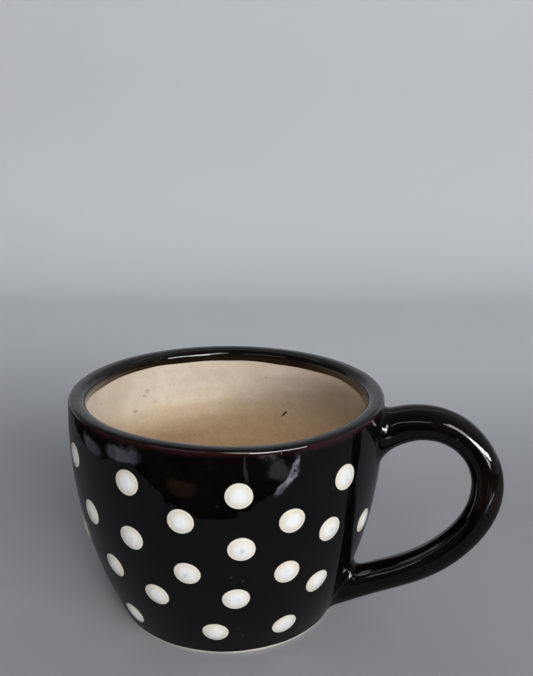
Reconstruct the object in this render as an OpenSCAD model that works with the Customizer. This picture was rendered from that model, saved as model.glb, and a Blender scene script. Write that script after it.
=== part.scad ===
// A wide stoneware cup with a round loop handle, black glaze outside and raised white dots.
// The origin is the centre of the foot, on the table. +Z is up and the handle points along +X.

/* [Cup] */
// Outside diameter at the widest, just below the rim
rim_d = 100; // [96:1:110]
// Height from the table to the top of the rim
cup_h = 74; // [73:0.5:80]
// Radius of the wall's bulge, seen from the side
bulge_r = 142; // [130:1:170]
// Height of the widest part of the bulge
bulge_z = 65; // [60:1:68]
// Thickness of the wall at the rim, glazes included
wall_t = 5; // [4.6:0.1:6]
// How much thicker the wall is at the base than at the rim
wall_extra = 1.5; // [0:0.1:3]
// Rounding of the rim's outer edge
lip_out = 1.6; // [1:0.1:2.2]
// Rounding of the rim's inner edge
lip_in = 2; // [1:0.1:2.2]
// Height of the drinking side of the floor
floor_z = 8; // [7:0.5:10]
// Rounding between the floor and the wall inside
corner_r = 14; // [8:1:18]

/* [Foot] */
// Outer radius of the flat ring that the cup stands on
foot_r = 33.6; // [31:0.2:33.8]
// Width of the flat ring
foot_w = 5; // [4:0.5:8]
// Depth of the recess inside the ring
recess = 2.5; // [1.5:0.5:3.5]
// Height of the bare clay between the table and the black glaze
bare_z = 0.9; // [0.5:0.1:2]

/* [Glaze] */
// Thickness of each coat of glaze
coat_t = 0.5; // [0.3:0.1:0.7]
// How far the black glaze runs down inside the rim
inside_band = 3.5; // [3:0.5:6]

/* [Handle] */
// Diameter of the clay rod at its thinnest, before its glaze
rod_d = 9; // [8:0.2:11]
// Height at which the upper arm leaves the wall
upper_z = 65.5; // [62:0.5:66]
// Rise of the upper arm, in degrees
upper_rise = 14; // [0:1:20]
// Straight length of the upper arm
upper_len = 10.4; // [8:0.2:14]
// Bend radius at the top of the loop
top_bend = 18; // [16:0.5:20]
// Bend radius at the outer side of the loop
side_bend = 31; // [29:0.5:32]
// Rise of the lower arm, in degrees
lower_rise = 26; // [22:1:30]
// Straight length of the lower arm
lower_len = 29; // [28:0.5:30]
// Sideways lean of the whole loop, in degrees
lean = 3.5; // [0:0.5:5]
// Width of the slip that is smoothed round each end of the handle
slip_w = 3; // [2:0.5:4]

/* [Dots] */
// Diameter of one dot
dot_d = 8; // [6:0.5:9]
// Height of a dot's edge above the black glaze
dot_edge = 0.25; // [0.1:0.05:0.4]
// Height of a dot's crown above the black glaze
dot_rise = 0.75; // [0.5:0.05:1.2]
// Dots of each ring, top ring first, each as its turn from the handle in degrees and its height.
// They were laid by eye: two staggered sets of rings, with none where the handle is joined.
dot_rings = [
    [[-30, 59.5], [-69, 60], [-107, 60.5], [-139, 60], [-176, 60], [148, 61], [111, 60], [76, 59], [39, 60]],
    [[-51, 50.5], [-88, 51.5], [-159, 52], [166, 51], [129, 50], [93, 52], [57, 51], [22, 50]],
    [[-12, 39], [-35, 44], [-68, 43], [-107.5, 42.5], [-129, 44.5], [-172, 42],
     [147, 42], [110, 43], [74, 42], [40, 43]],
    [[-51, 33], [-87, 34], [-150, 31], [164, 33], [130, 34], [92, 33], [58, 32], [23, 34]],
    [[-36, 25.5], [-69.5, 25], [-101, 23.5], [-121, 28.5], [-166, 23], [176, 25],
     [146, 26], [112, 24], [75, 25], [38, 24]],
    [[-47, 11], [-78, 11], [-121, 9.5], [-158, 11], [165, 10], [127, 11], [94, 10], [55, 11]]
];

/* [Hidden] */
$fn = 240;
wall_steps = 14;
lip_steps = 5;
corner_steps = 7;
lip_r = wall_r(cup_h - lip_out);
band_z = cup_h - inside_band;
corner_lean = lean_at(floor_z + 0.7 * corner_r);
corner_z = floor_z + corner_r;
corner_top = corner_z - corner_r * sin(corner_lean);
lean_pivot = 39;
rod_r = rod_d / 2;
buried = 7;
// The rod is drawn out by hand, so each stretch is a little thicker than the next and laps over its end
taper = 0.1;
lap = 0.3;
// The slip's hollow curve ends a little under the rod's face
sink = 0.4;
// Ends and centres of the handle's stretches, as [distance from the cup's axis, height]
upper_root = [wall_r(upper_z), upper_z];
top_start = upper_root + upper_len * [cos(upper_rise), sin(upper_rise)];
top_centre = top_start + top_bend * [sin(upper_rise), -cos(upper_rise)];
side_centre = top_centre + [top_bend - side_bend, 0];
side_end = side_centre + side_bend * [sin(lower_rise), -cos(lower_rise)];
lower_root = side_end - lower_len * [cos(lower_rise), sin(lower_rise)];
dot_r = dot_d / 2;
dot_steps = 5;
dot_root = 1;

// Outer radius of the glazed wall at a height
function wall_r(z) = rim_d / 2 - bulge_r + sqrt(pow(bulge_r, 2) - pow(z - bulge_z, 2));
// Angle by which the wall leans outwards at a height
function lean_at(z) = asin((bulge_z - z) / bulge_r);
// Inner radius of the glazed wall at a height
function inner_r(z) = wall_r(z) - wall_t - wall_extra * (cup_h - z) / cup_h;
function between(a, b, t) = a + (b - a) * t;
function arc(centre, r, from, to, steps) =
    [for (i = [0:steps]) let (a = between(from, to, i / steps)) centre + r * [cos(a), sin(a)]];
function reversed(line) = [for (i = [len(line) - 1:-1:0]) line[i]];

// The outer face, from the edge of the glaze at the foot up to the top of the rim.
// The inset is 0 for the glaze's face and the coat's thickness for the clay under it.
function wall_line(inset) = concat(
    [for (i = [0:wall_steps - 1])
        let (z = between(bare_z, cup_h - lip_out, i / wall_steps)) [wall_r(z) - inset, z]],
    arc([lip_r - lip_out, cup_h - lip_out], lip_out - inset, 0, 90, lip_steps)
);
// The same, then on over the rim to the edge of the black glaze inside
function outside_line(inset) = concat(
    wall_line(inset),
    arc([lip_r - wall_t + lip_in, cup_h - lip_in], lip_in - inset, 90, 180, lip_steps),
    [[inner_r(band_z) + inset, band_z]]
);
// The inside, from the edge of the black glaze down to the middle of the floor
function inside_line(inset) = concat(
    [for (i = [0:wall_steps - 1])
        let (z = between(band_z, corner_top, i / wall_steps)) [inner_r(z) + inset, z]],
    arc([inner_r(corner_top) - corner_r * cos(corner_lean), corner_z], corner_r + inset,
        -corner_lean, -90, corner_steps),
    [[0, floor_z - inset]]
);

// Everything inside the outer face of the cup, with no hollow
module full_cup(inset) {
    rotate_extrude()
        polygon(concat([[0, bare_z]], wall_line(inset), [[0, cup_h - inset]]));
}

module bend(centre, r, from, to, rod) {
    translate([centre[0], 0, centre[1]])
        rotate([90, 0, 0])
            rotate([0, 0, from])
                rotate_extrude(angle = to - from)
                    translate([r, 0])
                        circle(rod);
}

module arm(from, rise, length, rod) {
    translate([from[0], 0, from[1]])
        rotate([0, 90 - rise, 0])
            cylinder(r = rod, h = length);
}

module leaning() {
    translate([0, 0, lean_pivot])
        rotate([-lean, 0, 0])
            translate([0, 0, -lean_pivot])
                children();
}

// The handle's rod, running on into the wall at both ends
module rod(extra) {
    r = rod_r + extra;
    upper_start = upper_root - buried * [cos(upper_rise), sin(upper_rise)];
    lower_start = lower_root - buried * [cos(lower_rise), sin(lower_rise)];
    leaning() {
        arm(upper_start, upper_rise, buried + upper_len + lap, r + 2 * taper);
        bend(top_centre, top_bend, -1, 90 + upper_rise, r + taper);
        bend(side_centre, side_bend, lower_rise - 90, 0, r);
        arm(lower_start, lower_rise, buried + lower_len + lap, r + taper);
    }
}

// Slip smoothed into a hollow curve between the wall and the rod
module flare(root, rise, extra) {
    outer = rod_r + extra + slip_w - sink;
    leaning()
        translate([root[0], 0, root[1]])
            rotate([0, 90 - rise, 0])
                rotate_extrude()
                    polygon(concat([[0, -buried], [outer, -buried]],
                                   arc([outer, slip_w], slip_w, -90, -180, 5),
                                   [[0, slip_w]]));
}

module upper_flare(extra) {
    flare(upper_root, (upper_rise - lean_at(upper_root[1])) / 2, extra);
}

module lower_flare(extra) {
    flare(lower_root, (lower_rise - lean_at(lower_root[1])) / 2, extra);
}

module clay_joints() {
    rod(0);
    upper_flare(0);
    lower_flare(0);
}

module cup_body() {
    inside = inside_line(coat_t);
    color("#c9b08a")
        rotate_extrude()
            polygon(concat([[0, recess], [foot_r - foot_w - recess, recess],
                            [foot_r - foot_w, 0], [foot_r, 0]],
                           outside_line(coat_t),
                           [for (i = [1:len(inside) - 1]) inside[i]]));
}

module handle() {
    color("#b99f79")
        difference() {
            rod(0);
            full_cup(coat_t);
        }
}

module upper_joint_slip() {
    color("#a8906c")
        difference() {
            upper_flare(0);
            rod(0);
            full_cup(coat_t);
        }
}

module lower_joint_slip() {
    color("#a8906c")
        difference() {
            lower_flare(0);
            rod(0);
            full_cup(coat_t);
        }
}

module outer_glaze() {
    color("#141112")
        difference() {
            rotate_extrude()
                polygon(concat(outside_line(0), reversed(outside_line(coat_t))));
            clay_joints();
        }
}

module handle_glaze() {
    color("#1b1415")
        difference() {
            union() {
                rod(coat_t);
                upper_flare(coat_t);
                lower_flare(coat_t);
            }
            clay_joints();
            full_cup(0);
        }
}

module inner_glaze() {
    color("#e6d6ba")
        rotate_extrude()
            polygon(concat(inside_line(0), reversed(inside_line(coat_t))));
}

// Half the section of one dot: a low edge and a rounded crown, with its root carried on into the wall
function dot_section() = concat(
    [[0, -dot_root], [dot_r, -dot_root]],
    [for (i = [dot_steps:-1:0])
        let (x = dot_r * i / dot_steps) [x, dot_edge + (dot_rise - dot_edge) * (1 - pow(x / dot_r, 2))]]
);

// One dot, hollowed underneath to the round of the wall
module dot(turn, z) {
    round_r = wall_r(z) / cos(lean_at(z));
    rotate([0, 0, turn])
        translate([wall_r(z), 0, z])
            rotate([0, lean_at(z), 0])
                difference() {
                    rotate([0, 90, 0])
                        rotate_extrude()
                            polygon(dot_section());
                    translate([-round_r, 0, 0])
                        cylinder(r = round_r, h = 2 * dot_d, center = true);
                }
}

module dots_ring(ring) {
    color("#f4f0e4")
        for (place = dot_rings[ring - 1]) dot(place[0], place[1]);
}

cup_body();
handle();
upper_joint_slip();
lower_joint_slip();
outer_glaze();
handle_glaze();
inner_glaze();
dots_ring(1);  // dots_ring_1
dots_ring(2);  // dots_ring_2
dots_ring(3);  // dots_ring_3
dots_ring(4);  // dots_ring_4
dots_ring(5);  // dots_ring_5
dots_ring(6);  // dots_ring_6
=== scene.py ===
"""The looks of a wide stoneware cup: black glaze, raised white dots, a cream inside and a loop handle.

Lengths in the shape functions are millimetres in the CAD frame, and mesh_piece turns them to metres.
Heights are above the table and turns are radians round the cup's axis from the handle.
The materials, the stage, the lights and the camera are in metres.
"""

import math
import random

import bmesh
import bpy
import numpy as np
from mathutils import Euler, Matrix, Vector


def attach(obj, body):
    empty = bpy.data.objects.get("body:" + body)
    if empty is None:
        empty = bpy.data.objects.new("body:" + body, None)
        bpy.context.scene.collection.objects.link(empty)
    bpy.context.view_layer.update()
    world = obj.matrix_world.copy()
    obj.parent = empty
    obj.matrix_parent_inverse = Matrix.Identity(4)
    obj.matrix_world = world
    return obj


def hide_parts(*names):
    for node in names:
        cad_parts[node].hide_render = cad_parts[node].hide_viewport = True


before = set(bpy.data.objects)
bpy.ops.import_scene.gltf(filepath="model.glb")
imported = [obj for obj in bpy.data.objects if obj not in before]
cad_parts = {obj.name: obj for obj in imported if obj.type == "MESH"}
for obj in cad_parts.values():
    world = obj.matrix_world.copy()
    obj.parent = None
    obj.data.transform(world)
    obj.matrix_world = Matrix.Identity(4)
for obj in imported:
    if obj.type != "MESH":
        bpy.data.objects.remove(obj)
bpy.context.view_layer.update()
rng = random.Random(11)

MM = 0.001
TURNS = 360

# The cup, as in the CAD model
RIM_R, CUP_H = 50.0, 74.0
BULGE_R, BULGE_Z = 142.0, 65.0
WALL_T, WALL_EXTRA = 5.0, 1.5
FLOOR_Z, CORNER_R = 8.0, 14.0
CORNER_TOP = FLOOR_Z + 0.8 * CORNER_R
FOOT_R, FOOT_W, RECESS, BARE_Z = 33.6, 5.0, 2.5, 1.2

# A glaze's thickness, and how far under its face the clay lies
COAT = 0.5
CLAY_SUNK = 0.9 * COAT

# The rim's two rounded edges, each as a width and a height, and its swelling to the inside
LIP_OUT = (1.4, 1.6)
LIP_IN = (3.2, 2.8)
BEAD = 0.5

# How far the black glaze comes down inside, and how much further by the handle
BAND, BAND_EXTRA = 4.8, 1.7

# The handle's centre line in its own plane: distance from the cup's axis, height, radius with glaze
HANDLE_LINE = [
    (42, 63.5, 6.0), (50, 65.5, 5.8), (59, 68.1, 5.6), (66.5, 68.4, 5.3), (73.5, 66, 5.0),
    (79, 61, 4.7), (82.2, 54.4, 4.75), (82.6, 47, 4.85), (80.2, 39, 4.75), (75, 31.4, 4.8),
    (67.5, 24.5, 4.9), (58, 19, 4.9), (48.5, 14.8, 5.0), (39, 10.2, 5.1), (30.5, 6, 5.2),
]
HANDLE_ROUND, HANDLE_ROWS = 72, 190
LEAN, LEAN_PIVOT = math.radians(3.5), 39.0

# A dot's section, from its crown out to its sunk edge: share of its radius, height above the glaze.
# The crown, where the second coat lies, takes up DOT_CROWN of the radius
DOT_R = 4.0
DOT_SECTION = [
    (0.0, 0.66), (0.12, 0.652), (0.24, 0.628), (0.36, 0.585), (0.48, 0.52), (0.58, 0.45), (0.66, 0.38),
    (0.72, 0.32), (0.76, 0.275), (0.79, 0.245), (0.82, 0.232), (0.86, 0.23), (0.90, 0.22),
    (0.94, 0.195), (0.97, 0.14), (0.99, 0.06), (1.0, -0.06), (1.0, -0.2),
]
DOT_ROUND = 48
DOT_CROWN = 0.8


# ---------------------------------------------------------------- shapes

def wall_r(z):
    """Outer radius of the glazed wall at a height."""
    return RIM_R - BULGE_R + math.sqrt(BULGE_R ** 2 - (z - BULGE_Z) ** 2)


def unevenness(turn, z):
    """How far the thrown and glazed wall strays from a true round, in mm."""
    slow = 0.10 * math.sin(2 * turn + 0.7) * z / CUP_H + 0.05 * math.sin(3 * turn - z / 16)
    rings = 0.012 * math.sin(z / 1.9 + 0.8 * math.sin(turn + 1)) + 0.02 * math.sin(z / 4.3 + turn)
    ripples = 0.012 * math.sin(9 * turn + z / 5) + 0.008 * math.sin(17 * turn - z / 3.7)
    return slow + rings + ripples


def outer_r(turn, z):
    return wall_r(z) + unevenness(turn, z)


def inner_r(turn, z):
    """Radius of the inside, with the shallow rings that the thrower's fingers left."""
    rings = 0.06 * math.sin(2 * math.pi * z / 5.2 + turn) * min(1, max(0, (68 - z) / 8))
    return wall_r(z) - WALL_T - WALL_EXTRA * (CUP_H - z) / CUP_H + 0.7 * unevenness(turn, z) + rings


def steps(start, end, count, power=1.0):
    """count + 1 numbers from start to end, closer together near start where power is above 1."""
    return [start + (end - start) * (i / count) ** power for i in range(count + 1)]


def corner(width, height, count):
    """A softly squared quarter round from (0, 0) to (width, height), as inset and rise."""
    points = []
    for i in range(count + 1):
        a = math.pi / 2 * i / count
        points.append((width * (1 - math.cos(a) ** 0.9), height * math.sin(a) ** 0.9))
    return points


def top_z(turn):
    """Height of the rim, which isn't quite level and dips a little at the front."""
    return CUP_H - 0.12 + 0.08 * math.sin(turn + 2.2) + 0.04 * math.sin(3 * turn) - 0.85 * hump(turn, -54, 30)


def hump(turn, place, width):
    """1 at a place round the cup, falling softly to 0 either side. Place and width are in degrees."""
    away = (turn - math.radians(place) + math.pi) % (2 * math.pi) - math.pi
    return math.exp(-((away / math.radians(width)) ** 2))


def band_edge(turn):
    """Height of the black glaze's wavy edge inside the rim."""
    wave = 0.25 * math.sin(3 * turn + 0.6) + 0.14 * math.sin(7 * turn + 2) + 0.08 * math.sin(16 * turn)
    by_handle = BAND_EXTRA * hump(turn, 10, 28)
    return CUP_H - BAND - by_handle + wave


def thinness(turn):
    """How thin the black glaze runs inside the rim: most by the handle, and a little opposite it."""
    return 0.05 + 0.62 * hump(turn, 22, 30) + 0.2 * hump(turn, 178, 22)


def foot_edge(turn):
    """Height of the black glaze's wavy edge above the foot."""
    return BARE_Z + 0.12 * math.sin(2 * turn + 1.1) + 0.1 * math.sin(5 * turn) + 0.06 * math.sin(11 * turn)


def rim_line(turn, inset):
    """The section over the rim, from the outer face to the inner one, sunk by inset."""
    top = top_z(turn)
    outer_z, inner_z = top - LIP_OUT[1], top - LIP_IN[1]
    out, inn = outer_r(turn, outer_z), inner_r(turn, inner_z) - BEAD
    line, back = [], []
    for w, h in corner(LIP_OUT[0] - inset, LIP_OUT[1] - inset, 12):
        line.append((out - inset - w, outer_z + h))
    for w, h in corner(LIP_IN[0] - inset, LIP_IN[1] - inset, 12):
        back.append((inn + inset + w, inner_z + h))
    return line + back[::-1]


def inside_wall(turn, start_z, inset, count):
    """The inside from start_z down the wall, round the corner and in to the middle of the floor."""
    wall = [(inner_r(turn, z) + inset, z) for z in steps(start_z, CORNER_TOP, count)]
    lean = math.asin((BULGE_Z - CORNER_TOP) / BULGE_R) + 0.03
    radius = CORNER_R + inset
    centre = (wall[-1][0] - radius * math.cos(lean), wall[-1][1] + radius * math.sin(lean))
    floor = centre[1] - radius
    bend = []
    for a in steps(-lean, -math.pi / 2, 12)[1:]:
        bend.append((centre[0] + radius * math.cos(a), centre[1] + radius * math.sin(a)))
    flat = []
    for r in steps(bend[-1][0], 0, 22)[1:]:
        swirl = 0.16 * math.sin(2 * math.pi * r / 6.5 + turn) * min(1, r / 6) if inset == 0 else 0
        flat.append((r, floor + swirl))
    return wall + bend + flat


def clay_section(turn):
    """The clay under the glazes: the trimmed foot, the wall, the rim and the inside."""
    ring = FOOT_R - FOOT_W
    under = [(r, RECESS + 0.05 * math.sin(2 * math.pi * r / 2.2)) for r in steps(0, ring - 2.2, 26)]
    under += [(ring - 2.0 + 1.9 * math.sin(a), 0.35 + (RECESS - 0.35) * math.cos(a))
              for a in steps(0.15, math.pi / 2, 8)]
    under += [(ring + 0.1, 0.12), (ring + 0.5, 0.0), (ring + 1.6, 0.02), (ring + 3.0, 0.0),
              (FOOT_R - 0.4, 0.0), (FOOT_R + 0.2, 0.02), (FOOT_R + 0.5, 0.12), (FOOT_R + 0.66, 0.45)]
    wall = [(outer_r(turn, z) - CLAY_SUNK, z) for z in steps(0.9, top_z(turn) - LIP_OUT[1] - 0.2, 30)]
    inside = inside_wall(turn, top_z(turn) - LIP_IN[1] - 0.2, CLAY_SUNK, 24)
    return under + wall + rim_line(turn, CLAY_SUNK) + inside


def black_section(turn):
    """The black glaze, a closed skin from its rolled edge at the foot over the rim to its edge inside."""
    foot, edge, top = foot_edge(turn), band_edge(turn), top_z(turn)
    roll = [(-0.42, -0.03), (-0.2, -0.06), (-0.02, 0.04), (0.07, 0.22), (0.07, 0.5), (0.03, 0.85), (0.0, 1.3)]
    skin = [(outer_r(turn, foot + dz) + dr, foot + dz) for dr, dz in roll]
    skin += [(outer_r(turn, z), z) for z in steps(foot + 1.3, top - LIP_OUT[1], 72)[1:-1]]
    skin += rim_line(turn, 0)
    low, high = edge + 0.45, top - LIP_IN[1]
    skin += [(inner_r(turn, z) - BEAD * (z - low) / (high - low), z) for z in steps(high, low, 5)[1:]]
    lip = [(0.0, 0.28), (0.03, 0.14), (0.08, 0.03), (0.14, -0.03), (0.42, 0.02)]
    skin += [(inner_r(turn, edge + dz) + dr, edge + dz) for dr, dz in lip]
    back = rim_line(turn, COAT)[::-1]
    back += [(outer_r(turn, z) - COAT, z) for z in steps(top - LIP_OUT[1], foot + 0.3, 30)[1:]]
    return skin + back


def cream_section(turn):
    """The cream glaze: a skin from under the black band down to the middle of the floor."""
    start = CUP_H - BAND + 1.2
    face = inside_wall(turn, start, 0.1, 60)
    back = inside_wall(turn, start, COAT, 24)
    return face[::-1] + back


def mesh_piece(name, points, faces, material, scale=MM):
    """A smooth closed mesh with its normals outwards, from points in mm."""
    mesh = bpy.data.meshes.new(name)
    mesh.from_pydata([tuple(scale * c for c in p) for p in points], [], faces)
    work = bmesh.new()
    work.from_mesh(mesh)
    bmesh.ops.remove_doubles(work, verts=work.verts, dist=1e-8)
    bmesh.ops.recalc_face_normals(work, faces=work.faces)
    for face in work.faces:
        face.smooth = True
    work.to_mesh(mesh)
    work.free()
    piece = bpy.data.objects.new(name, mesh)
    bpy.context.scene.collection.objects.link(piece)
    mesh.materials.append(material)
    return piece


def meet_on_axis(rows):
    """Brings the first points of all rows together on the axis, and the last ones too."""
    for end in (0, -1):
        height = sum(row[end][2] for row in rows) / len(rows)
        for row in rows:
            row[end] = (0.0, 0.0, height)


def thrown(name, section, closed, material):
    """Carries a section round the cup's axis. It is a loop if closed, or else it starts and ends there."""
    rows = []
    for i in range(TURNS):
        turn = 2 * math.pi * i / TURNS
        rows.append([(r * math.cos(turn), r * math.sin(turn), z) for r, z in section(turn)])
    count = len(rows[0])
    if not closed:
        meet_on_axis(rows)
    faces = []
    for i in range(TURNS):
        j = (i + 1) % TURNS
        for k in range(count if closed else count - 1):
            m = (k + 1) % count
            faces.append((i * count + k, j * count + k, j * count + m, i * count + m))
    return mesh_piece(name, [p for row in rows for p in row], faces, material)


def label(piece, name, value_at):
    """Keeps a number with each of a piece's points for its material, from its turn, radius and height."""
    mesh = piece.data
    values = []
    for vert in mesh.vertices:
        x, y, z = (c / MM for c in vert.co)
        values.append(value_at(math.atan2(y, x), math.hypot(x, y), z))
    mesh.attributes.new(name, "FLOAT", "POINT").data.foreach_set("value", values)


def wall_point(turn, z, out=0.0):
    """A point on the outside of the glazed wall, moved out along its normal."""
    r = outer_r(turn, z)
    slope = outer_r(turn, z + 0.5) - outer_r(turn, z - 0.5)
    round_slope = (outer_r(turn + 0.01, z) - outer_r(turn - 0.01, z)) / (0.02 * r)
    normal = Vector((1, -round_slope, -slope)).normalized()
    local = Vector((r, 0, z)) + out * normal
    c, s = math.cos(turn), math.sin(turn)
    return Vector((local.x * c - local.y * s, local.x * s + local.y * c, local.z))


# ---------------------------------------------------------------- handle

def spline(values, knots):
    """A natural cubic curve through values at knots, as a function of place."""
    n = len(knots)
    h = np.diff(knots)
    system, right = np.eye(n), np.zeros(n)
    for i in range(1, n - 1):
        system[i, i - 1:i + 2] = h[i - 1], 2 * (h[i - 1] + h[i]), h[i]
        right[i] = 6 * ((values[i + 1] - values[i]) / h[i] - (values[i] - values[i - 1]) / h[i - 1])
    bend = np.linalg.solve(system, right)

    def at(s):
        i = min(max(int(np.searchsorted(knots, s)) - 1, 0), n - 2)
        a, c, w = knots[i + 1] - s, s - knots[i], h[i]
        return ((bend[i] * a ** 3 + bend[i + 1] * c ** 3) / (6 * w)
                + (values[i] / w - bend[i] * w / 6) * a + (values[i + 1] / w - bend[i + 1] * w / 6) * c)
    return at


class Rod:
    """The handle's rod: its centre line, its radius, and points on its surface."""

    def __init__(self):
        line = np.array(HANDLE_LINE, float)
        steps_along = np.hypot(*np.diff(line[:, :2], axis=0).T)
        self.knots = np.concatenate([[0], np.cumsum(steps_along)])
        self.length = float(self.knots[-1])
        self.x, self.z, self.r = [spline(line[:, k], self.knots) for k in range(3)]

    def surface(self, s, phi):
        """The point on the rod's face at a place along it. phi is 0 on the outer side of the loop."""
        dx, dz = self.x(s + 0.05) - self.x(s - 0.05), self.z(s + 0.05) - self.z(s - 0.05)
        size = math.hypot(dx, dz)
        across = (-dz / size, dx / size)
        r = self.r(s) + 0.05 * math.sin(2 * phi + s / 21) + 0.035 * math.sin(s / 7 + phi)
        r += 0.02 * math.sin(3 * phi - s / 5)
        u, v = r * math.cos(phi), r * math.sin(phi)
        return leaned(self.x(s) + u * across[0], v, self.z(s) + u * across[1])

    def centre(self, s):
        return leaned(self.x(s), 0, self.z(s))


def leaned(x, y, z):
    """Leans a point of the handle's own plane sideways with the rest of the loop."""
    up = z - LEAN_PIVOT
    c, s = math.cos(LEAN), math.sin(LEAN)
    return Vector((x, y * c + up * s, LEAN_PIVOT - y * s + up * c))


def wall_gap(point):
    """Distance of a point outside the wall, measured level."""
    return math.hypot(point.x, point.y) - outer_r(math.atan2(point.y, point.x), point.z)


def meeting_place(rod, phi, inside, outside):
    """Where the rod's line at phi comes out of the wall."""
    for _ in range(40):
        middle = (inside + outside) / 2
        if wall_gap(rod.surface(middle, phi)) < 0:
            inside = middle
        else:
            outside = middle
    return (inside + outside) / 2


def joint_reach(phi, upper):
    """How far the smoothed slip runs along the rod and along the wall, in mm."""
    above = 0.5 + 0.5 * math.cos(phi) if upper else 0.5 - 0.5 * math.cos(phi)
    if upper:
        return 3.4 + 8.6 * (1 - above) ** 1.6, 1.2 + 6.0 * (1 - above) ** 0.9
    return 3.2 + 3.4 * above, 1.8 + 3.0 * above


def joint_rows(rod, phi, meet, sign, upper, count=12):
    """Points of one line of the smoothed joint, from the rod down on to the wall and a little into it."""
    along, spread = joint_reach(phi, upper)
    start = rod.surface(meet + sign * along, phi)
    hit = rod.surface(meet, phi)
    turn = math.atan2(hit.y, hit.x)
    normal = (wall_point(turn, hit.z, 1.0) - wall_point(turn, hit.z)).normalized()
    away = hit - rod.centre(meet)
    away = (away - away.dot(normal) * normal).normalized()
    end = hit + spread * away
    end = wall_point(math.atan2(end.y, end.x), end.z, -0.02)
    rows = []
    for i in range(1, count + 1):
        t = i / count
        rows.append((1 - t) ** 2 * start + 2 * t * (1 - t) * hit + t * t * end)
    rows.append(end - 0.45 * normal)
    return rows


def handle_columns():
    """The lines that run along the handle, each from inside the wall over both joints and back into it."""
    rod = Rod()
    columns = []
    for i in range(HANDLE_ROUND):
        phi = 2 * math.pi * i / HANDLE_ROUND
        upper = meeting_place(rod, phi, 1.0, 26.0)
        lower = meeting_place(rod, phi, rod.length - 1.0, rod.length - 32.0)
        first, last = upper + joint_reach(phi, True)[0], lower - joint_reach(phi, False)[0]
        body = [rod.surface(s, phi) for s in steps(first, last, HANDLE_ROWS)]
        head = joint_rows(rod, phi, upper, 1, True)
        tail = joint_rows(rod, phi, lower, -1, False)
        columns.append(head[::-1] + body + tail)
    return columns


def handle_mesh(material):
    """The handle with both its joints, as one closed mesh that ends inside the wall."""
    columns = handle_columns()
    count = len(columns[0])
    points = [tuple(p) for column in columns for p in column]
    faces = []
    for i in range(HANDLE_ROUND):
        j = (i + 1) % HANDLE_ROUND
        for k in range(count - 1):
            faces.append((i * count + k, i * count + k + 1, j * count + k + 1, j * count + k))
    for end in (0, count - 1):
        ring = [i * count + end for i in range(HANDLE_ROUND)]
        middle = sum((Vector(points[i]) for i in ring), Vector()) / HANDLE_ROUND
        turn = math.atan2(middle.y, middle.x)
        points.append(tuple(wall_point(turn, middle.z, -0.9)))
        for i in range(HANDLE_ROUND):
            faces.append((ring[i], ring[(i + 1) % HANDLE_ROUND], len(points) - 1))
    return mesh_piece("handle_loop", points, faces, material)


# ---------------------------------------------------------------- dots

def loose_part(start, seen):
    """The places of all points joined to a point by edges. It adds their numbers to seen."""
    part, queue = [], [start]
    seen.add(start.index)
    while queue:
        here = queue.pop()
        part.append(here.co)
        for edge in here.link_edges:
            other = edge.other_vert(here)
            if other.index not in seen:
                seen.add(other.index)
                queue.append(other)
    return part


def dot_places(node):
    """The turn and height in mm of each dot of a CAD ring, from the loose parts of its mesh."""
    work = bmesh.new()
    work.from_mesh(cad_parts[node].data)
    bmesh.ops.remove_doubles(work, verts=work.verts, dist=1e-6)
    places, seen = [], set()
    for vert in work.verts:
        if vert.index in seen:
            continue
        part = loose_part(vert, seen)
        low = Vector([min(c[k] for c in part) for k in range(3)])
        high = Vector([max(c[k] for c in part) for k in range(3)])
        middle = (low + high) / 2
        places.append((math.atan2(middle.y, middle.x), middle.z / MM))
    work.free()
    return sorted(places)


def dot_points(turn, z):
    """Points and shares of the radius for one hand-laid dot that follows the wall under it."""
    wide, tall = 1 + rng.uniform(-0.025, 0.025), 1 + rng.uniform(-0.025, 0.025)
    tilt, lump = rng.uniform(0, math.pi), rng.uniform(0, 2 * math.pi)
    shift = (rng.uniform(-0.3, 0.3), rng.uniform(-0.3, 0.3))
    crown, slump = 1 + rng.uniform(-0.14, 0.14), rng.uniform(0.0, 0.25)
    lean = math.asin((BULGE_Z - z) / BULGE_R)
    points, shares = [], []
    for share, height in DOT_SECTION:
        rise = height * (crown if share < DOT_CROWN else 1)
        inner = max(0.0, 1 - share / DOT_CROWN)
        for i in range(DOT_ROUND if share else 1):
            a = 2 * math.pi * i / DOT_ROUND
            size = DOT_R * share * (1 + 0.016 * math.sin(2 * a + tilt) + 0.008 * math.sin(3 * a + lump))
            u = size * math.cos(a) * wide + shift[0] * inner
            v = size * math.sin(a) * tall + shift[1] * inner - slump * inner
            place_turn = turn + u / (wall_r(z) + 0.2)
            points.append(tuple(wall_point(place_turn, z + v * math.cos(lean), rise)))
            shares.append(share)
    points.append(tuple(wall_point(turn, z, -0.3)))
    shares.append(1.0)
    return points, shares


def dot_faces():
    """The faces between a dot's points: its crown, its rings, and its underside in the glaze."""
    faces = []
    count = len(DOT_SECTION)
    for i in range(DOT_ROUND):
        j = (i + 1) % DOT_ROUND
        faces.append((0, 1 + i, 1 + j))
        for ring in range(1, count - 1):
            a, b = 1 + (ring - 1) * DOT_ROUND, 1 + ring * DOT_ROUND
            faces.append((a + i, b + i, b + j, a + j))
    last, under = 1 + (count - 2) * DOT_ROUND, 1 + (count - 1) * DOT_ROUND
    for i in range(DOT_ROUND):
        faces.append((last + (i + 1) % DOT_ROUND, last + i, under))
    return faces


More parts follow.
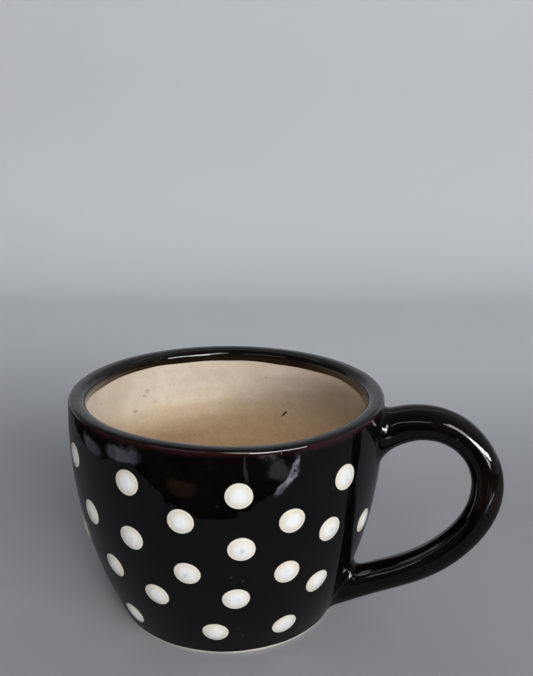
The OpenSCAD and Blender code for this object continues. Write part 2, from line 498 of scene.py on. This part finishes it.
def dots_piece(ring, material):
    """All the dots of one CAD ring as one piece. Each point keeps its share of its dot's radius."""
    points, faces, shares, seeds = [], [], [], []
    for turn, z in dot_places(f"dots_ring_{ring}"):
        more, part = dot_points(turn, z)
        faces += [tuple(i + len(points) for i in side) for side in dot_faces()]
        points += more
        shares += part
        seeds += [rng.random()] * len(part)
    name = f"dots_{ring}"
    mesh = bpy.data.meshes.new(name)
    mesh.from_pydata([tuple(MM * c for c in p) for p in points], [], faces)
    mesh.polygons.foreach_set("use_smooth", [True] * len(faces))
    for value_name, values in (("dot_share", shares), ("dot_seed", seeds)):
        mesh.attributes.new(value_name, "FLOAT", "POINT").data.foreach_set("value", values)
    mesh.materials.append(material)
    piece = bpy.data.objects.new(name, mesh)
    bpy.context.scene.collection.objects.link(piece)
    return piece


# ---------------------------------------------------------------- materials

class Shade:
    """Short ways to add and join shader nodes in one material."""

    def __init__(self, name):
        self.material = bpy.data.materials.new(name)
        self.material.use_nodes = True
        self.nodes, self.links = self.material.node_tree.nodes, self.material.node_tree.links
        self.shader = self.nodes["Principled BSDF"]
        self.where = self.nodes.new("ShaderNodeTexCoord").outputs["Object"]

    def put(self, socket, value):
        if hasattr(value, "links"):
            self.links.new(value, socket)
        else:
            socket.default_value = value

    def set(self, **values):
        for name, value in values.items():
            self.put(self.shader.inputs[name.replace("_", " ")], value)

    def noise(self, scale, detail=2.0, rough=0.5, distortion=0.0):
        node = self.nodes.new("ShaderNodeTexNoise")
        self.put(node.inputs["Vector"], self.where)
        node.inputs["Scale"].default_value = scale
        node.inputs["Detail"].default_value = detail
        node.inputs["Roughness"].default_value = rough
        node.inputs["Distortion"].default_value = distortion
        return node.outputs["Fac"]

    def cells(self, scale):
        node = self.nodes.new("ShaderNodeTexVoronoi")
        self.put(node.inputs["Vector"], self.where)
        node.inputs["Scale"].default_value = scale
        return node.outputs["Distance"]

    def band(self, value, low, high, to_low=0.0, to_high=1.0):
        """A smooth step of value from low to high."""
        node = self.nodes.new("ShaderNodeMapRange")
        node.interpolation_type = "SMOOTHSTEP"
        self.put(node.inputs["Value"], value)
        for name, number in (("From Min", low), ("From Max", high), ("To Min", to_low), ("To Max", to_high)):
            self.put(node.inputs[name], number)
        return node.outputs["Result"]

    def maths(self, kind, a, b=0.0):
        node = self.nodes.new("ShaderNodeMath")
        node.operation = kind
        self.put(node.inputs[0], a)
        self.put(node.inputs[1], b)
        return node.outputs["Value"]

    def times(self, a, b):
        return self.maths("MULTIPLY", a, b)

    def stray(self, value, noise, size):
        """A value that noise moves up and down by up to half of size."""
        return self.maths("ADD", value, self.times(self.maths("SUBTRACT", noise, 0.5), size))

    def mix(self, share, a, b):
        node = self.nodes.new("ShaderNodeMix")
        node.data_type = "RGBA"
        self.put(node.inputs["Factor"], share)
        self.put(node.inputs["A"], a)
        self.put(node.inputs["B"], b)
        return node.outputs["Result"]

    def bump(self, height, distance, before=None):
        node = self.nodes.new("ShaderNodeBump")
        self.put(node.inputs["Height"], height)
        node.inputs["Distance"].default_value = distance
        node.inputs["Strength"].default_value = 1.0
        if before is not None:
            self.put(node.inputs["Normal"], before)
        return node.outputs["Normal"]

    def xyz(self):
        node = self.nodes.new("ShaderNodeSeparateXYZ")
        self.put(node.inputs[0], self.where)
        return node.outputs

    def attribute(self, name):
        node = self.nodes.new("ShaderNodeAttribute")
        node.attribute_name = name
        return node.outputs["Fac"]

    def mark(self, centre, size, turn=(0, 0, 0)):
        """1 at the middle of a small oval mark, falling to 0 at its edge."""
        move = self.nodes.new("ShaderNodeMapping")
        move.vector_type = "TEXTURE"
        self.put(move.inputs["Vector"], self.where)
        move.inputs["Location"].default_value = centre
        move.inputs["Rotation"].default_value = turn
        move.inputs["Scale"].default_value = size
        node = self.nodes.new("ShaderNodeVectorMath")
        node.operation = "LENGTH"
        self.put(node.inputs[0], move.outputs["Vector"])
        return self.band(node.outputs["Value"], 0.55, 1.0, 1.0, 0.0)


def rgb(r, g, b):
    return (r, g, b, 1.0)


def glaze_skin(shade, tint):
    """The surface that both black pieces share: faint orange peel, pinholes and a little uneven gloss."""
    peel = shade.noise(420, 2.0, 0.5)
    waves = shade.noise(130, 1.5, 0.45)
    holes = shade.band(shade.cells(260), 0.06, 0.12)
    rare = shade.band(shade.noise(60, 1.0), 0.58, 0.62)
    pits = shade.times(shade.maths("SUBTRACT", 1.0, holes), rare)
    normal = shade.bump(waves, 0.00012)
    normal = shade.bump(peel, 0.00002, normal)
    normal = shade.bump(shade.maths("SUBTRACT", 1.0, pits), 0.0002, normal)
    smear = shade.noise(35, 4.0, 0.6)
    gloss = shade.band(smear, 0.35, 0.75, 0.03, 0.085)
    shade.set(Base_Color=tint, Roughness=gloss, Normal=normal, IOR=1.5)


def black_glaze_material():
    shade = Shade("black_glaze")
    drop, above = shade.attribute("below_rim"), shade.attribute("above_edge")
    inside = shade.attribute("inside")
    cloud = shade.noise(55, 3.0, 0.6)
    fine = shade.noise(300, 2.0, 0.5)
    base = shade.mix(shade.band(cloud, 0.4, 0.7), rgb(0.0012, 0.0011, 0.0012), rgb(0.0026, 0.0020, 0.0018))
    # The glaze breaks to maroon where it ran thin over the rim's outer edge
    ragged = shade.stray(drop, cloud, 3.2)
    maroon = shade.times(shade.band(drop, 0.3, 0.9), shade.band(ragged, 3.0, 0.7))
    maroon = shade.times(maroon, shade.maths("SUBTRACT", 1.0, inside))
    maroon = shade.times(maroon, shade.band(fine, 0.25, 0.7, 0.55, 1.0))
    tint = shade.mix(maroon, base, rgb(0.027, 0.0068, 0.0085))
    # It is a clear brown where it thins out over the cream inside
    thin = shade.times(shade.band(above, 3.0, 0.0), inside)
    tint = shade.mix(shade.times(thin, shade.attribute("thin_sides")), tint, rgb(0.13, 0.070, 0.028))
    glaze_skin(shade, tint)
    return shade.material


def handle_material():
    shade = Shade("handle_glaze")
    cloud = shade.noise(70, 3.0, 0.6)
    x = shade.xyz()[0]
    base = shade.mix(shade.band(cloud, 0.4, 0.7), rgb(0.0013, 0.0012, 0.0012), rgb(0.0045, 0.003, 0.0022))
    # A warmer break along the outer side of the loop, where the glaze is thinnest
    outer = shade.band(x, 0.083, 0.0878)
    patch = shade.band(shade.noise(120, 2.0, 0.5), 0.35, 0.68, 0.3, 1.0)
    tint = shade.mix(shade.times(outer, patch), base, rgb(0.011, 0.0055, 0.0042))
    glaze_skin(shade, tint)
    return shade.material


def inner_point(turn_degrees, z):
    """A point on the cream glaze, in metres."""
    turn = math.radians(turn_degrees)
    r = inner_r(turn, z) + 0.1
    return (r * math.cos(turn) * MM, r * math.sin(turn) * MM, z * MM)


# Small dents in the cream glaze: turn from the handle in degrees, height, half width in mm, darkness
DENTS = (
    (178, 63.5, 0.55, 0.4), (155, 55, 1.1, 0.45), (149, 59.7, 0.6, 0.3),
    (147, 61, 1.2, 0.12), (143.5, 56.6, 0.5, 0.4), (89, 63.3, 0.4, 0.5),
    (-20, 52, 0.6, 0.4), (-75, 61, 0.5, 0.4), (-130, 48, 0.8, 0.3),
)


def cream_marks(shade, base, grain):
    """Adds the dents and one dark slanted scratch in the far wall. Gives the colour and the dents' depth."""
    scratch_size, scratch_turn = (1.0 * MM, 0.42 * MM, 1.9 * MM), (math.radians(42), 0, math.radians(79))
    depth = scratch = shade.mark(inner_point(79.2, 50.6), scratch_size, scratch_turn)
    for turn, height, size, darkness in DENTS:
        dent = shade.mark(inner_point(turn, height), (size * MM, size * MM, 0.7 * size * MM))
        dent = shade.times(dent, shade.band(grain, 0.35, 0.6, 0.4, 1.0))
        base = shade.mix(shade.times(dent, darkness), base, rgb(0.20, 0.16, 0.13))
        depth = shade.maths("MAXIMUM", depth, dent)
    return shade.mix(scratch, base, rgb(0.035, 0.022, 0.012)), depth


def cream_material():
    shade = Shade("cream_glaze")
    z = shade.xyz()[2]
    blotch = shade.noise(48, 5.0, 0.68, distortion=0.6)
    fine = shade.noise(260, 3.0, 0.6)
    grain = shade.noise(1500, 2.0, 0.6)
    base = shade.mix(shade.band(blotch, 0.32, 0.68), rgb(0.585, 0.49, 0.385), rgb(0.70, 0.63, 0.55))
    # Warmer and more orange towards the bottom of the inside: painted warm bounce light for its shaded lower
    # part
    base = shade.mix(shade.band(z, 0.064, 0.040, 0.0, 0.9), base, rgb(0.97, 0.72, 0.44))
    base = shade.mix(shade.band(fine, 0.35, 0.75, 0.0, 0.30), base, rgb(0.66, 0.53, 0.39))
    base = shade.mix(shade.band(grain, 0.48, 0.68, 0.0, 0.28), base, rgb(0.48, 0.38, 0.28))
    # Iron specks in a few places
    rare = shade.band(shade.noise(110, 1.0), 0.56, 0.62)
    specks = shade.times(shade.band(shade.cells(420), 0.10, 0.04), rare)
    base = shade.mix(shade.times(specks, 0.55), base, rgb(0.20, 0.13, 0.08))
    # Stained where the black band over it is thin
    edge = shade.stray(shade.attribute("above_edge"), fine, 0.8)
    stain = shade.times(shade.band(edge, -1.1, 0.2, 0.0, 0.8), shade.attribute("thin_sides"))
    base = shade.mix(stain, base, rgb(0.26, 0.16, 0.08))
    base, dents = cream_marks(shade, base, grain)
    normal = shade.bump(fine, 0.00012)
    normal = shade.bump(grain, 0.00002, normal)
    normal = shade.bump(shade.maths("SUBTRACT", 1.0, dents), 0.0003, normal)
    satin = shade.band(fine, 0.3, 0.7, 0.42, 0.58)
    shade.set(Base_Color=base, Roughness=satin, Normal=normal, IOR=1.45)
    return shade.material


def dot_material():
    shade = Shade("white_dots")
    share, seed = shade.attribute("dot_share"), shade.attribute("dot_seed")
    ragged = shade.noise(900, 2.0, 0.5)
    wander = shade.noise(260, 2.0, 0.5)
    place = shade.stray(shade.stray(share, ragged, 0.12), wander, 0.30)
    cream = shade.mix(seed, rgb(0.72, 0.67, 0.57), rgb(0.79, 0.755, 0.675))
    white = rgb(0.83, 0.84, 0.85)
    base = shade.mix(shade.band(place, 0.30, 0.80), white, cream)
    # A faint darker line where the second coat stops, and a brown line at the outer edge
    line = shade.times(shade.band(place, 0.73, 0.79), shade.band(place, 0.86, 0.81))
    base = shade.mix(shade.times(line, 0.13), base, rgb(0.46, 0.38, 0.28))
    base = shade.mix(shade.band(share, 0.96, 0.995, 0.0, 0.85), base, rgb(0.24, 0.16, 0.10))
    rare = shade.band(shade.noise(330, 1.0), 0.58, 0.64)
    specks = shade.times(shade.band(shade.cells(900), 0.16, 0.05), rare)
    base = shade.mix(shade.times(specks, 0.6), base, rgb(0.25, 0.2, 0.16))
    # A faint grey smudge at the crown of some dots
    smudge = shade.times(shade.band(place, 0.40, 0.10), shade.band(seed, 0.35, 0.7, 0.0, 0.6))
    smudge = shade.times(smudge, shade.band(ragged, 0.4, 0.65))
    base = shade.mix(smudge, base, rgb(0.40, 0.40, 0.42))
    soft = shade.noise(700, 2.0, 0.5)
    normal = shade.bump(wander, 0.00025)
    normal = shade.bump(soft, 0.00008, normal)
    shade.set(Base_Color=base, Roughness=shade.band(soft, 0.3, 0.7, 0.14, 0.26), Normal=normal, IOR=1.5)
    return shade.material


def clay_material():
    shade = Shade("bare_clay")
    grain = shade.noise(1400, 4.0, 0.7)
    cloud = shade.noise(90, 3.0, 0.6)
    base = shade.mix(shade.band(cloud, 0.35, 0.7), rgb(0.47, 0.42, 0.35), rgb(0.56, 0.51, 0.44))
    grog = shade.band(shade.cells(700), 0.16, 0.06)
    base = shade.mix(shade.times(grog, 0.4), base, rgb(0.26, 0.17, 0.10))
    rings = shade.nodes.new("ShaderNodeTexWave")
    rings.wave_type = "RINGS"
    rings.rings_direction = "Z"
    shade.put(rings.inputs["Vector"], shade.where)
    rings.inputs["Scale"].default_value = 210
    rings.inputs["Distortion"].default_value = 1.2
    normal = shade.bump(rings.outputs["Fac"], 0.00008)
    normal = shade.bump(grain, 0.00014, normal)
    shade.set(Base_Color=base, Roughness=shade.band(grain, 0.3, 0.7, 0.78, 0.95), Normal=normal, IOR=1.45)
    return shade.material


def floor_material():
    """Matt pale grey, paler where it sweeps up behind the cup."""
    shade = Shade("pale_floor")
    cloud = shade.noise(6, 3.0, 0.5)
    grain = shade.noise(900, 2.0, 0.5)
    base = shade.mix(cloud, rgb(0.455, 0.465, 0.49), rgb(0.485, 0.495, 0.52))
    behind = shade.attribute("behind")
    sweep = shade.mix(cloud, rgb(0.74, 0.765, 0.80), rgb(0.78, 0.805, 0.84))
    wall = shade.mix(cloud, rgb(0.535, 0.55, 0.575), rgb(0.56, 0.575, 0.60))
    base = shade.mix(shade.band(behind, 0.05, 0.28), base, sweep)
    base = shade.mix(shade.band(behind, 0.40, 0.90), base, wall)
    base = shade.mix(shade.band(behind, 0.98, 1.25), base, rgb(0.30, 0.31, 0.32))
    shade.set(Base_Color=base, Roughness=0.8, Specular_IOR_Level=0.0, Normal=shade.bump(grain, 0.00003))
    return shade.material


# ---------------------------------------------------------------- stage, light and camera

VIEW_TURN = math.radians(17.5)


def from_view(x, y, z):
    """A point given square to the camera, in the cup's own frame."""
    c, s = math.cos(VIEW_TURN), math.sin(VIEW_TURN)
    return (x * c - y * s, x * s + y * c, z)


def add_floor():
    """A pale floor that sweeps up into a wall well behind the cup, square to the camera."""
    side, near, wall, bend, high = 1.2, -0.8, 0.72, 0.3, 2.4
    line = [(y, 0.0) for y in steps(wall - bend, near, 40, 2.0)[::-1]]
    for a in steps(0, math.pi / 2, 24)[1:]:
        line.append((wall - bend + bend * math.sin(a), bend - bend * math.cos(a)))
    line += [(wall, z) for z in steps(bend, high, 6)[1:]]
    points = [from_view(x, y, z) for x in (-side, side) for y, z in line]
    count = len(line)
    faces = [(k, k + count, k + count + 1, k + 1) for k in range(count - 1)]
    floor = mesh_piece("floor", points, faces, floor_material(), scale=1.0)
    c, s = math.cos(VIEW_TURN), math.sin(VIEW_TURN)
    behind = [v.co.y * c - v.co.x * s + v.co.z for v in floor.data.vertices]
    floor.data.attributes.new("behind", "FLOAT", "POINT").data.foreach_set("value", behind)


# Painted reflections that the glaze mirrors, square to the camera: a wide dim room that glows, and a table
# with a left side and a front edge over it
FAR = 1.5
ROOM = [(-FAR, -FAR), (FAR, -FAR), (FAR, FAR), (-FAR, FAR)]
TABLE = [
    (FAR, FAR), (-0.184, FAR), (-0.184, -0.100), (-0.045, -0.117),
    (0.071, -0.136), (0.172, -0.184), (FAR, -0.184),
]

# Painted glowing patches in the dim room, seen only in reflections: middle, half sizes, slant in degrees,
# glow
PATCHES = (
    ((-0.206, -0.078), (0.034, 0.062), 20, (0.80, 0.86, 1.05)),
    ((-0.200, 0.030), (0.020, 0.050), 5, (0.34, 0.36, 0.42)),
    ((-0.078, -0.148), (0.034, 0.026), 10, (0.27, 0.13, 0.07)),
    ((0.110, -0.184), (0.030, 0.036), 25, (0.55, 0.58, 0.56)),
    ((0.043, -0.225), (0.006, 0.050), 8, (0.55, 0.50, 0.50)),
    ((0.105, -0.235), (0.034, 0.012), 35, (1.1, 1.1, 1.2)),
)


def matt(shade, base, glow):
    """Finishes a card's material as a matt surface that also glows."""
    shade.set(Base_Color=base, Roughness=0.9, Specular_IOR_Level=0.0)
    shade.set(Emission_Color=glow, Emission_Strength=1.0)
    return shade.material


def table_card_material():
    """A dull grey table top with a painted glowing edge, for reflections only."""
    shade = Shade("mirrored_table")
    cloud = shade.noise(9, 2.0, 0.5)
    base = shade.mix(cloud, rgb(0.20, 0.205, 0.22), rgb(0.25, 0.255, 0.275))
    # A painted glow for the lit edge of the table, where it runs off to the right, seen only in reflections
    slant = (0, 0, VIEW_TURN - math.radians(25))
    edge = shade.mark(from_view(0.122, -0.154, 0), (0.062, 0.013, 1.0), slant)
    edge = shade.times(edge, shade.band(shade.noise(60, 3.0, 0.6), 0.35, 0.6, 0.3, 1.0))
    return matt(shade, base, shade.mix(edge, rgb(0, 0, 0), rgb(5.5, 5.5, 6.4)))


def dark_room_material():
    """The dim room past the table as a painted reflection: a faint glow with a few pale and brown glowing
    patches, for reflections only.
    """
    shade = Shade("mirrored_room")
    cloud = shade.noise(16, 4.0, 0.65)
    glow = shade.mix(shade.band(cloud, 0.5, 0.75), rgb(0.008, 0.007, 0.008), rgb(0.07, 0.05, 0.045))
    for place, size, slant, colour in PATCHES:
        angle = VIEW_TURN + math.radians(slant)
        patch = shade.mark(from_view(*place, 0), (*size, 1.0), (0, 0, angle))
        uneven = shade.times(patch, shade.band(cloud, 0.3, 0.6, 0.45, 1.0))
        glow = shade.mix(uneven, glow, rgb(*colour))
    return matt(shade, rgb(0, 0, 0), glow)


def mirrored_card(name, outline, z, material):
    """A flat card just over the floor that only glossy reflections see."""
    points = [from_view(x, y, z) for x, y in outline]
    card = mesh_piece(name, points, [tuple(range(len(outline)))], material, scale=1.0)
    card.visible_camera = card.visible_diffuse = card.visible_shadow = False
    card.visible_transmission = card.visible_volume_scatter = False


MIDDLE = (0, 0, 0.04)


def soft_box(name, turn, rise, distance, size, watts, colour, target=MIDDLE, roll=0):
    """A rectangular lamp that faces its target. Turn from the handle, rise and roll are in degrees."""
    data = bpy.data.lights.new(name, "AREA")
    data.shape, data.size, data.size_y = "RECTANGLE", size[0], size[1]
    data.energy, data.color = watts, colour
    lamp = bpy.data.objects.new(name, data)
    t, r = math.radians(turn), math.radians(rise)
    toward = Vector((math.cos(t) * math.cos(r), math.sin(t) * math.cos(r), math.sin(r)))
    lamp.location = Vector(MIDDLE) + distance * toward
    facing = (Vector(target) - lamp.location).to_track_quat("-Z", "Y").to_matrix()
    lamp.rotation_euler = (facing @ Matrix.Rotation(math.radians(roll), 3, "Z")).to_euler()
    bpy.context.scene.collection.objects.link(lamp)
    return lamp


def room_ramp(nodes, links):
    """The dim room's colour, from the dark side in front of the cup round to the pale side behind it."""
    where = nodes.new("ShaderNodeTexCoord")
    toward = nodes.new("ShaderNodeVectorMath")
    toward.operation = "DOT_PRODUCT"
    links.new(where.outputs["Generated"], toward.inputs[0])
    pale_side = math.radians(75)
    toward.inputs[1].default_value = (math.cos(pale_side), math.sin(pale_side), 0.1)
    shift = nodes.new("ShaderNodeMapRange")
    shift.inputs["From Min"].default_value, shift.inputs["From Max"].default_value = -1.0, 1.0
    links.new(toward.outputs["Value"], shift.inputs["Value"])
    ramp = nodes.new("ShaderNodeValToRGB")
    ramp.color_ramp.interpolation = "B_SPLINE"
    links.new(shift.outputs["Result"], ramp.inputs["Fac"])
    stops = ramp.color_ramp.elements
    stops[0].position, stops[0].color = 0.0, rgb(0.05, 0.048, 0.046)
    stops[1].position, stops[1].color = 1.0, rgb(0.26, 0.272, 0.296)
    stops.new(0.42).color = rgb(0.07, 0.068, 0.068)
    stops.new(0.62).color = rgb(0.23, 0.24, 0.262)
    return ramp.outputs["Color"]


def room_light():
    """The dim room as light and in reflections. The camera sees a plain pale backdrop past the floor."""
    world = bpy.data.worlds.new("room")
    bpy.context.scene.world = world
    world.use_nodes = True
    nodes, links = world.node_tree.nodes, world.node_tree.links
    seen = nodes.new("ShaderNodeLightPath").outputs["Is Camera Ray"]
    plain = nodes.new("ShaderNodeMix")
    plain.data_type = "RGBA"
    links.new(seen, plain.inputs["Factor"])
    links.new(room_ramp(nodes, links), plain.inputs["A"])
    plain.inputs["B"].default_value = rgb(0.38, 0.395, 0.42)
    links.new(plain.outputs["Result"], nodes["Background"].inputs["Color"])
    nodes["Background"].inputs["Strength"].default_value = 1.0


def add_camera():
    """The camera stands round from the front towards the handle and looks down past the cup's left."""
    turn, distance, height = VIEW_TURN, 0.2815, 0.171
    pitch, yaw, roll = math.radians(15.92), math.radians(2.52), math.radians(0.49)
    data = bpy.data.cameras.new("camera")
    data.sensor_width, data.lens = 36.0, 49.52
    data.clip_start, data.clip_end = 0.01, 50
    camera = bpy.data.objects.new("camera", data)
    camera.location = (distance * math.sin(turn), -distance * math.cos(turn), height)
    look = Euler((math.pi / 2 - pitch, 0, turn - yaw)).to_matrix() @ Matrix.Rotation(roll, 3, "Z")
    camera.rotation_euler = look.to_euler()
    bpy.context.scene.collection.objects.link(camera)
    bpy.context.scene.camera = camera


# ---------------------------------------------------------------- the cup

clay_body = thrown("clay_body", clay_section, False, clay_material())
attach(clay_body, "root")
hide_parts("cup_body")

black_glaze = thrown("black_glaze", black_section, True, black_glaze_material())
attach(black_glaze, "root")
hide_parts("outer_glaze")
label(black_glaze, "below_rim", lambda turn, r, z: top_z(turn) - z)
label(black_glaze, "above_edge", lambda turn, r, z: z - band_edge(turn))
label(black_glaze, "inside", lambda turn, r, z: float(z > 60 and r < wall_r(z) - WALL_T / 2))
label(black_glaze, "thin_sides", lambda turn, r, z: thinness(turn))

cream_glaze = thrown("cream_glaze", cream_section, False, cream_material())
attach(cream_glaze, "root")
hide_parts("inner_glaze")
label(cream_glaze, "above_edge", lambda turn, r, z: z - band_edge(turn))
label(cream_glaze, "thin_sides", lambda turn, r, z: thinness(turn))

handle_loop = handle_mesh(handle_material())
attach(handle_loop, "root")
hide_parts("handle", "handle_glaze", "upper_joint_slip", "lower_joint_slip")

white = dot_material()
for ring in range(1, 7):
    ring_piece = dots_piece(ring, white)
    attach(ring_piece, "root")
    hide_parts(f"dots_ring_{ring}")

add_floor()
mirrored_card("mirrored_room", ROOM, 0.0003, dark_room_material())
mirrored_card("mirrored_table", TABLE, 0.0006, table_card_material())
soft_box("key", -38, 15.5, 2.4, (1.6, 0.33), 36, (0.95, 0.98, 1.0))
soft_box("tall_window", -55, 20, 2.4, (0.55, 1.75), 22, (1.0, 0.98, 0.94), roll=38)
soft_box("side_window", -106, 24, 2.4, (1.6, 0.10), 1.8, (1.0, 0.97, 0.92))
soft_box("low_front", -118, 4.5, 3.0, (4.5, 0.3), 22, (0.96, 0.98, 1.0)).visible_glossy = False
wall_foot = from_view(0, 0.95, 0.3)
soft_box("wall_light", 107.5, 70, 1.0, (1.6, 0.3), 0.8, (0.97, 0.985, 1.0), target=wall_foot)
room_light()
add_camera()
bpy.context.scene.view_settings.view_transform = "Standard"
